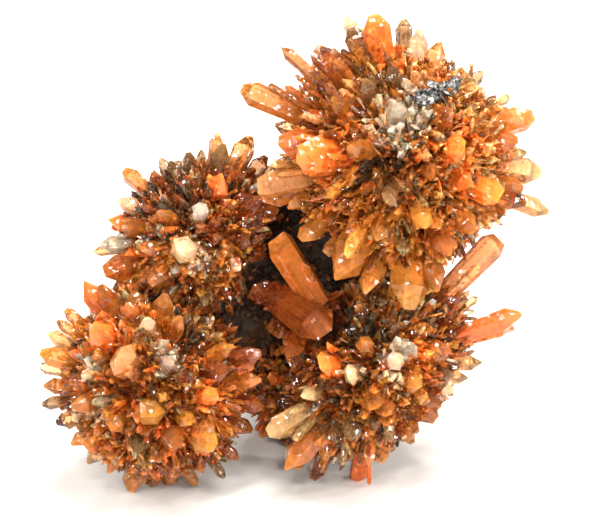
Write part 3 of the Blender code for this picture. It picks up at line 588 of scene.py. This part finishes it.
def new_piece(name, shapes, finish):
    """One mesh from several shapes, whose face numbers move up by the points that come before."""
    before = np.cumsum([0] + [len(shape["points"]) for shape in shapes])
    faces = [face + start for shape, start in zip(shapes, before) for face in shape["faces"]]
    sizes = np.concatenate([np.full(len(face), face.shape[1]) for face in faces])
    loops = np.concatenate([face.ravel() for face in faces]).astype(np.int32)
    points, tint, cloud, broken, growth = [
        np.concatenate([shape[key] for shape in shapes]).astype(np.float32)
        for key in ("points", "tint", "cloud", "broken", "growth")
    ]
    mesh = bpy.data.meshes.new(name)
    mesh.vertices.add(len(points))
    mesh.vertices.foreach_set("co", (points * MM).ravel())
    mesh.loops.add(len(loops))
    mesh.loops.foreach_set("vertex_index", loops)
    mesh.polygons.add(len(sizes))
    mesh.polygons.foreach_set("loop_start", (np.cumsum(sizes) - sizes).astype(np.int32))
    mesh.update(calc_edges=True)
    mesh.validate()
    mesh.shade_flat()
    rgba = np.concatenate([tint, np.ones((len(tint), 1), np.float32)], axis=1)
    mesh.attributes.new("tint", "FLOAT_COLOR", "POINT").data.foreach_set("color", rgba.ravel())
    mesh.attributes.new("cloud", "FLOAT", "POINT").data.foreach_set("value", cloud)
    mesh.attributes.new("broken", "FLOAT", "POINT").data.foreach_set("value", broken)
    mesh.uv_layers.new(name="growth").data.foreach_set("uv", growth[loops].ravel())
    mesh.materials.append(finish)
    piece = bpy.data.objects.new(name, mesh)
    bpy.context.scene.collection.objects.link(piece)
    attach(piece, "root")
    print(f"{name}: {int((sizes - 2).sum())} triangles")
    return piece


# %% [markdown]
# Low down, the crystals of a ball have grown together without gaps. One closed lump stands for that
# solid growth, a little inside the crust. Its near-black brown is painted shade, for the deep gaps
# between the crystals. The same function makes the rock of the matrix later.

# %% A lump
def lump(centre, radius_of, rows, columns, colour):
    """Point = centre + way times its radius, for ways on rings of latitude between two poles."""
    down = np.linspace(0, math.pi, rows + 2)[1:-1, None]
    turn = np.arange(columns) * 2 * math.pi / columns
    parts = np.broadcast_arrays(np.sin(down) * np.cos(turn), np.sin(down) * np.sin(turn), np.cos(down))
    way = np.concatenate([np.stack(parts, axis=2).reshape(-1, 3), [(0, 0, 1), (0, 0, -1)]])
    number = np.arange(rows * columns).reshape(rows, columns)
    after = np.roll(number, -1, axis=1)
    quads = np.stack([number[:-1], number[1:], after[1:], after[:-1]], axis=2).reshape(-1, 4)
    north, south = np.full(columns, rows * columns), np.full(columns, rows * columns + 1)
    caps = [np.stack([north, number[0], after[0]], axis=1), np.stack([south, after[-1], number[-1]], axis=1)]
    points = centre + way * radius_of(way)[:, None]
    points[:, 2] = np.maximum(points[:, 2], 0.0)
    return {
        "points": points,
        "faces": [quads] + caps,
        "tint": np.tile(colour, (len(way), 1)),
        "cloud": np.ones(len(way)),
        "broken": np.ones(len(way)),
        "growth": points[:, :2],
    }


# %% [markdown]
# Shader maths reads best as maths. A wire stands for a socket, and Python's operators on it add Math
# nodes. A sheet is one material's node tree, with a single method that adds any other node.

# %% Wires and sheets
class Wire:
    """An output socket that +, - and * work on."""

    def __init__(self, sheet, socket):
        self.sheet, self.socket = sheet, socket

    def maths(self, operation, *values):
        return self.sheet.node("Math", {"operation": operation}, dict(enumerate(values)))

    def __add__(self, other):
        return self.maths("ADD", self, other)

    def __sub__(self, other):
        return self.maths("SUBTRACT", self, other)

    def __rsub__(self, other):
        return self.maths("SUBTRACT", other, self)

    def __mul__(self, other):
        return self.maths("MULTIPLY", self, other)

    def between(self, low, high):
        """0 below low, 1 above high, and even steps between them."""
        inputs = {0: self, 1: low, 2: high, 3: 0.0, 4: 1.0}
        return self.sheet.node("MapRange", {"clamp": True}, inputs)

    __radd__, __rmul__ = __add__, __mul__


class Sheet:
    """The node tree of a new material."""

    def __init__(self, name):
        self.material = bpy.data.materials.new(name)
        self.material.use_nodes = True
        self.tree = self.material.node_tree
        self.tree.nodes.clear()
        self.output = self.tree.nodes.new("ShaderNodeOutputMaterial")

    def node(self, kind, settings=None, inputs=None, output=0):
        made = self.tree.nodes.new("ShaderNode" + kind)
        for key, value in (settings or {}).items():
            setattr(made, key, value)
        for key, value in (inputs or {}).items():
            if isinstance(value, Wire):
                self.tree.links.new(value.socket, made.inputs[key])
            else:
                made.inputs[key].default_value = value
        return Wire(self, made.outputs[output])

    def mixed(self, factor, first, second):
        """First where the factor is 0, second where it is 1, and a blend of the two between."""
        return self.node("Mix", {"data_type": "RGBA"}, {0: factor, 6: first, 7: second}, output=2)

    def noise(self, place, scale, detail=3.0, roughness=0.55):
        inputs = {"Vector": place, "Scale": scale, "Detail": detail, "Roughness": roughness}
        return self.node("TexNoise", {}, inputs)

    def finish(self, surface, volume=None):
        self.tree.links.new(surface.socket, self.output.inputs["Surface"])
        if volume:
            self.tree.links.new(volume.socket, self.output.inputs["Volume"])
        return self.material


# %% [markdown]
# Creedite's orange is in the whole crystal, not on its skin: a thin end is pale and a thick one deep
# orange. So the clear part of the material lets light in and absorbs blue and green on the way, by
# constant values. The cloudy part scatters it near the surface. Fine lines run along every prism, and
# their lighter colour is partly growth lines and partly a painted sheen. Veils of small inclusions make
# patches of a clear crystal milky. The ends of the real crystals are broken into tiny facets, and each
# shines on its own: random cells, two to the millimetre, stand for them. A cell's random colour tilts
# the normal there, and it also paints light and shade, lightening some cells and darkening others as if
# each facet caught the lamps its own way.

# %% The creedite
REFRACTION = 1.47
LINE_AND_SHEEN_COLOUR, CLEAR_COLOUR = (1.0, 0.58, 0.20, 1.0), (1.0, 0.90, 0.60, 1.0)
ABSORPTION = {"Color": (1.0, 0.46, 0.12, 1.0), "Density": 320.0}
CELLS_PER_METRE, CELL_LIGHT_AND_SHADE, CELL_TILT = 1900.0, 0.9, 0.9


def creedite():
    sheet = Sheet("creedite crystal")
    tint = sheet.node("Attribute", {"attribute_name": "tint"}, output=0)
    cloud = sheet.node("Attribute", {"attribute_name": "cloud"}, output=2)
    broken = sheet.node("Attribute", {"attribute_name": "broken"}, output=2)
    growth = sheet.node("UVMap", {"uv_map": "growth"})
    place = sheet.node("TexCoord", output=3)
    drawn_out = sheet.node("Mapping", {}, {"Vector": growth, "Scale": (6.5, 0.08, 1.0)})
    lines = sheet.noise(drawn_out, 1.0, 1.0)
    veil = sheet.noise(place, 500.0, 3.0, 0.6)
    cloudy = (cloud + (veil.between(0.40, 0.68) - 0.45) * 0.2).between(0.0, 1.0)
    cells = sheet.node("TexVoronoi", {}, {"Vector": place, "Scale": CELLS_PER_METRE}, output=1)
    chance = sheet.node("SeparateColor", {}, {"Color": cells})
    # Painted light and shade: each cell's random value lightens or darkens the colour.
    shade = 1.0 + broken * (chance - 0.5) * CELL_LIGHT_AND_SHADE
    shaded = sheet.node("VectorMath", {"operation": "SCALE"}, {0: tint, "Scale": shade})
    # The lines' lighter colour is partly growth lines and partly painted sheen.
    body = sheet.mixed(lines.between(0.50, 0.72) * 0.13, shaded, LINE_AND_SHEEN_COLOUR)
    grooves = sheet.node("Bump", {}, {"Strength": 0.35, "Distance": 0.00004, "Height": lines})
    aside = sheet.node("VectorMath", {"operation": "SUBTRACT"}, {0: cells, 1: (0.5, 0.5, 0.5)})
    tilt = sheet.node("VectorMath", {"operation": "SCALE"}, {0: aside, "Scale": broken * CELL_TILT})
    tilted = sheet.node("VectorMath", {"operation": "ADD"}, {0: grooves, 1: tilt})
    normal = sheet.node("VectorMath", {"operation": "NORMALIZE"}, {0: tilted})
    polish = 0.03 + lines.between(0.50, 0.8) * 0.15
    clear = {
        "Base Color": sheet.mixed(0.50, body, CLEAR_COLOUR),
        "Roughness": polish,
        "IOR": REFRACTION,
        "Transmission Weight": 1.0,
        "Normal": normal,
    }
    milky = {
        "Base Color": body,
        "Roughness": polish + 0.04,
        "IOR": REFRACTION,
        "Subsurface Weight": 1.0,
        "Subsurface Radius": (1.0, 0.75, 0.55),
        "Subsurface Scale": 0.0004,
        "Normal": normal,
    }
    clear_part = sheet.node("BsdfPrincipled", {}, clear)
    milky_part = sheet.node("BsdfPrincipled", {"subsurface_method": "BURLEY"}, milky)
    whole = sheet.node("MixShader", {}, {0: cloudy, 1: clear_part, 2: milky_part})
    return sheet.finish(whole, sheet.node("VolumeAbsorption", {}, ABSORPTION))


CREEDITE = creedite()
print("material:", CREEDITE.name)

# %% [markdown]
# Now the balls are grown. Each gets its leading crystals with companions, then three generations of
# ordinary crystals: long ones that make the outline, shorter ones between them, and a sugar of tiny
# ones that closes the crust and sparkles. A mix gives the shares of the kinds: bright for the upper
# ball, a dark one for the middle, a low one for the left and lower right balls, and usual for the rest,
# whose sugar takes the low one as well. The dark mix is partly the black and rust-brown grains of the
# hollow and partly painted shade of the hollow. The low mix is partly brown, iron-stained crystals and
# partly painted shade low in the crust.

# %% Growing the sprays
USUAL = {
    "rust": 0.13, "smoke": 0.13, "amber": 0.28, "fire": 0.14,
    "gold": 0.18, "peach": 0.05, "honey": 0.07, "ice": 0.02,
}
# Partly brown, iron-stained kinds and partly painted shade, low in the crust.
LOW_STAINED_AND_SHADED = {
    "coal": 0.07, "rust": 0.28, "smoke": 0.16, "amber": 0.29,
    "gold": 0.13, "honey": 0.04, "ice": 0.03,
}
BRIGHT = {
    "rust": 0.05, "smoke": 0.06, "amber": 0.22, "fire": 0.09,
    "gold": 0.27, "peach": 0.20, "honey": 0.11,
}
# Partly the hollow's black and rust-brown grains and partly painted shade of the hollow.
SHADED = {"coal": 0.30, "rust": 0.34, "smoke": 0.20, "amber": 0.10, "gold": 0.06}
GENERATIONS = {
    "long": {"each": 5, "lengths": (0.84, 1.02), "widths": (1.0, 3.0), "deep": 0.45, "lean": 0.30},
    "short": {"each": 5, "lengths": (0.76, 0.97), "widths": (0.6, 1.8), "deep": 0.34, "lean": 0.45},
    "sugar": {"each": 1, "lengths": (0.70, 0.94), "widths": (0.3, 1.1), "deep": 0.14, "lean": 0.60},
}
GROWTH = {
    "upper_spray": {"long": 150, "short": 640, "sugar": 4200},
    "lower_right_spray": {"long": 105, "short": 440, "sugar": 2800},
    "lower_left_spray": {"long": 125, "short": 500, "sugar": 3200},
    "left_spray": {"long": 95, "short": 390, "sugar": 2600},
    "middle_spray": {"sugar": 160},
    "rear_spray": {"long": 80, "short": 300, "sugar": 1800},
}
OWN_MIX = {"middle_spray": SHADED, "upper_spray": BRIGHT, "left_spray": LOW_STAINED_AND_SHADED, "lower_right_spray": LOW_STAINED_AND_SHADED}
LEADING_COMPANIONS, LONG_COMPANIONS = 3, 2
LEADING_BROKEN = 0.35
HEART, MIDDLE_HEART = 0.64, 0.40
# The heart's near-black brown is painted shade of the deep gaps between the crystals.
HEART_SHADE_COLOUR, HEART_GRID = (0.15, 0.036, 0.007), (24, 48)
GROWTH_SEED = 500


def spray_shapes(name):
    """Leading crystals with six sides, all others with four, and the solid heart."""
    rng = np.random.default_rng(SPRAYS[name]["seed"] + GROWTH_SEED)
    leading = leading_crystals(name)
    thin = [companions(leading, LEADING_COMPANIONS, rng)]
    for generation, fans in GROWTH[name].items():
        kinds = OWN_MIX.get(name, LOW_STAINED_AND_SHADED if generation == "sugar" else USUAL)
        grown = ordinary_crystals(name, fans, kinds=kinds, rng=rng, **GENERATIONS[generation])
        thin.append(grown)
        if generation == "long":
            thin.append(companions(grown, LONG_COMPANIONS, rng))
    solid = MIDDLE_HEART if name == "middle_spray" else HEART
    heart = lump(CENTRES[name], lambda way: solid * room(name, way), *HEART_GRID, HEART_SHADE_COLOUR)
    large = crystal_shape(leading, 6, rng, LEADING_BROKEN)
    return [large, crystal_shape(joined(*thin), 4, rng), heart]


for name in GROWTH:
    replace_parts(new_piece(f"{name}_crystals", spray_shapes(name), CREEDITE), name)


# %% [markdown]
# The matrix is iron-stained rock, nearly black in the hollow, with a crust of tiny black crystals. The
# lump swells into an arm towards each spray that grew on it, as its CAD solid does, and waves of many
# sizes make it rough.

# %% The matrix
ROCK_CENTRE = seen((-1.5, -2.5, -8.0))
ROCK_RADIUS = 8.0
ROCK_ARMS = {
    "upper_spray": 11.0,
    "lower_right_spray": 5.0,
    "lower_left_spray": 11.0,
    "left_spray": 8.0,
    "rear_spray": 4.0,
}
ROCK_RIDGE, RIDGE_SWELL = seen((-3.5, 9.5, -1.0)), 5.0
SWELL_SHARPNESS = 7.0
WAVE_HEIGHT, WAVES = 1.3, 8
ROCK_GRID, ROCK_SEED = (110, 220), 5
GRAINS, GRAIN_SUNK, GRAIN_SEED = 2600, 0.7, 55


def rock_radius(way):
    """8 + each swell times exp(7 (cosine of the angle to it - 1)) + waves of falling size."""
    rng = np.random.default_rng(ROCK_SEED)
    radius = np.full(len(way), ROCK_RADIUS)
    swells = [(CENTRES[name], swell) for name, swell in ROCK_ARMS.items()] + [(ROCK_RIDGE, RIDGE_SWELL)]
    for place, swell in swells:
        radius += swell * np.exp(SWELL_SHARPNESS * (way @ unit(place - ROCK_CENTRE) - 1))
    for pitch in (4, 8, 16, 32, 48):
        waves = unit(rng.normal(size=(3, WAVES)).T).T * pitch
        shifts = rng.uniform(0, 2 * math.pi, WAVES)
        radius += WAVE_HEIGHT / pitch**0.75 * np.sin(way @ waves + shifts).sum(axis=1)
    return radius


def rock_grains(count, rng):
    """Stubby crystals that stand on the rock at every angle."""
    way = spread(count, rng, 0.05)
    foot = ROCK_CENTRE + way * (rock_radius(way) - GRAIN_SUNK)[:, None]
    heading = unit(way + rng.normal(0, 0.5, (count, 3)))
    draw = [KIND_NAMES.index(kind) for kind in ("coal", "stain", "rust")]
    return crystals_of(
        root=foot,
        tip=foot + heading * rng.uniform(1.0, 2.6, (count, 1)),
        width=rng.uniform(0.5, 1.5, count),
        flat=rng.uniform(0.4, 1.0, count),
        blunt=rng.uniform(0, 1, count),
        slant=rng.uniform(0.2, 0.9, count),
        roll=rng.uniform(0, 2 * math.pi, count),
        foot=np.full(count, 0.8),
        kind=rng.choice(draw, count, p=(0.72, 0.24, 0.04)),
    )


def dark_rock():
    sheet = Sheet("dark matrix rock")
    place = sheet.node("TexCoord", output=3)
    tint = sheet.node("Attribute", {"attribute_name": "tint"}, output=0)
    coarse = sheet.noise(place, 260.0, 5.0, 0.65)
    fine = sheet.noise(place, 1400.0, 3.0, 0.6)
    stained = sheet.mixed(coarse.between(0.52, 0.68) * 0.5, tint, (0.10, 0.035, 0.010, 1.0))
    speckled = sheet.mixed(fine.between(0.62, 0.75) * 0.5, stained, (0.10, 0.09, 0.075, 1.0))
    relief = sheet.node("Bump", {}, {"Strength": 0.8, "Distance": 0.0003, "Height": coarse + fine * 0.5})
    rough = fine.between(0.3, 0.7) * 0.4 + 0.30
    inputs = {"Base Color": speckled, "Roughness": rough, "Specular IOR Level": 0.1, "Normal": relief}
    return sheet.finish(sheet.node("BsdfPrincipled", {}, inputs))


DARK_ROCK = dark_rock()
grain_rng = np.random.default_rng(GRAIN_SEED)
rock_shapes = [
    lump(ROCK_CENTRE, rock_radius, *ROCK_GRID, KINDS["coal"][0]),
    crystal_shape(rock_grains(GRAINS, grain_rng), 4, grain_rng),
]
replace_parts(new_piece("matrix_rock", rock_shapes, DARK_ROCK), "matrix")

# %% [markdown]
# A patch of a black mineral with a silvery shine sits between the crystals of the upper spray. It is a
# heap of small thin plates at every angle.

# %% The black patch
PATCH_ACROSS, PATCH_UP = 21.6, 27.9
PATCH_LONG, PATCH_HIGH = 4.2, 1.3
PATCH_SHARE = 0.93
PLATES, PLATE_SUNK, PLATE_SEED = 60, 2.0, 77
BLACK, SILVER = (0.02, 0.019, 0.017, 1.0), (0.55, 0.54, 0.52, 1.0)


def black_plates(count, rng):
    """Plates in an ellipse that rises to the right, a little inside the ball's surface."""
    turn, out = rng.uniform(0, 2 * math.pi, count), rng.uniform(0, 1, count) ** 0.5
    across = PATCH_ACROSS + PATCH_LONG * out * np.cos(turn)
    up = PATCH_UP + PATCH_HIGH * out * np.sin(turn) + PATCH_HIGH * out * np.cos(turn)
    middle = seen(on_ball("upper_spray", across, up, PATCH_SHARE))
    heading = unit(middle - CENTRES["upper_spray"] + rng.normal(0, 7.0, (count, 3)))
    return crystals_of(
        root=middle - heading * PLATE_SUNK,
        tip=middle + heading * rng.uniform(0.2, 1.2, (count, 1)),
        width=rng.uniform(0.5, 1.4, count),
        flat=rng.uniform(0.15, 0.5, count),
        blunt=rng.uniform(0.3, 1, count),
        slant=rng.uniform(0.2, 0.9, count),
        roll=rng.uniform(0, 2 * math.pi, count),
        foot=np.full(count, 0.8),
        kind=np.full(count, KIND_NAMES.index("coal")),
    )


def silvery_black():
    sheet = Sheet("silvery black mineral")
    place = sheet.node("TexCoord", output=3)
    fine = sheet.noise(place, 1500.0, 3.0, 0.6)
    inputs = {
        "Base Color": sheet.mixed(fine.between(0.45, 0.62), BLACK, SILVER),
        "Roughness": fine.between(0.3, 0.7) * 0.3 + 0.18,
        "Metallic": fine.between(0.4, 0.6) * 0.7,
        "Normal": sheet.node("Bump", {}, {"Strength": 0.5, "Distance": 0.0001, "Height": fine}),
    }
    return sheet.finish(sheet.node("BsdfPrincipled", {}, inputs))


plate_rng = np.random.default_rng(PLATE_SEED)
plates = crystal_shape(black_plates(PLATES, plate_rng), 4, plate_rng)
new_piece("black_patch", [plates], silvery_black())

# %% [markdown]
# The stage is a white floor that runs far past the picture, under a white sky.

# %% Floor and sky
PAPER = {"Base Color": (0.90, 0.86, 0.80, 1.0), "Roughness": 0.8}
SKY_STRENGTH = 0.42


def white_floor():
    sheet = Sheet("white paper")
    return sheet.finish(sheet.node("BsdfPrincipled", {}, PAPER))


floor_mesh = bpy.data.meshes.new("floor")
floor_mesh.from_pydata([(-3, -3, 0), (3, -3, 0), (3, 3, 0), (-3, 3, 0)], [], [(0, 1, 2, 3)])
floor = bpy.data.objects.new("floor", floor_mesh)
bpy.context.scene.collection.objects.link(floor)
floor_mesh.materials.append(white_floor())

world = bpy.data.worlds.new("studio")
bpy.context.scene.world = world
world.use_nodes = True
sky = world.node_tree.nodes["Background"]
sky.inputs["Color"].default_value = (1.0, 1.0, 1.0, 1.0)
sky.inputs["Strength"].default_value = SKY_STRENGTH

# %% [markdown]
# Every lamp is a square that faces the middle of the cluster. A large soft one is above, a little to
# the right. A dozen small ones stand all round, most of them on the side of the eye, and their mirror
# images make the glints. Places are in metres.

# %% Lamps
LIT_PLACE = Vector((0.0, 0.0, 0.035))
TOP_PLACE, TOP_SIZE, TOP_POWER = (0.10, 0.02, 0.56), 0.24, 4.9
GLINT_SIZE, GLINT_POWER = 0.05, 0.66
GLINTS = [
    (-0.36, -0.42, 0.34), (0.38, -0.32, 0.30), (0.05, -0.58, 0.26), (-0.16, -0.34, 0.52),
    (0.26, -0.20, 0.52), (-0.52, -0.20, 0.20), (0.52, -0.12, 0.24), (-0.05, -0.50, 0.44),
    (0.20, -0.52, 0.14), (-0.42, 0.14, 0.36), (0.36, 0.30, 0.34), (-0.10, 0.48, 0.34),
]


def lamp(name, place, size, power):
    data = bpy.data.lights.new(name, "AREA")
    data.size, data.energy = size, power
    made = bpy.data.objects.new(name, data)
    bpy.context.scene.collection.objects.link(made)
    made.location = place
    made.rotation_mode = "QUATERNION"
    made.rotation_quaternion = (LIT_PLACE - Vector(place)).to_track_quat("-Z", "Y")
    return made


lamp("soft_top", TOP_PLACE, TOP_SIZE, TOP_POWER)
for number, place in enumerate(GLINTS):
    lamp(f"glint_{number}", place, GLINT_SIZE, GLINT_POWER)
print("lamps:", 1 + len(GLINTS))

# %% [markdown]
# The camera is the eye from the second cell. Its picture is 96 mm wide at the middle of the cluster. A
# path of light may cross six surfaces, because crystals are seen through crystals.

# %% Camera and light paths
PICTURE_WIDTH = 96.0
SENSOR_WIDTH = 36.0
eye = bpy.data.cameras.new("eye")
eye.sensor_width = SENSOR_WIDTH
eye.lens = SENSOR_WIDTH * EYE_DISTANCE / PICTURE_WIDTH
eye.clip_start, eye.clip_end = 0.01, 20.0
camera = bpy.data.objects.new("eye", eye)
bpy.context.scene.collection.objects.link(camera)
camera.location = (MIDDLE + NEAR * EYE_DISTANCE) * MM
camera.rotation_euler = (math.radians(90.0) - TILT, 0.0, 0.0)
bpy.context.scene.camera = camera
bpy.context.scene.view_settings.view_transform = "Standard"
cycles = bpy.context.scene.cycles
cycles.max_bounces, cycles.transmission_bounces = 6, 6
cycles.diffuse_bounces, cycles.glossy_bounces = 2, 3
cycles.caustics_reflective = False
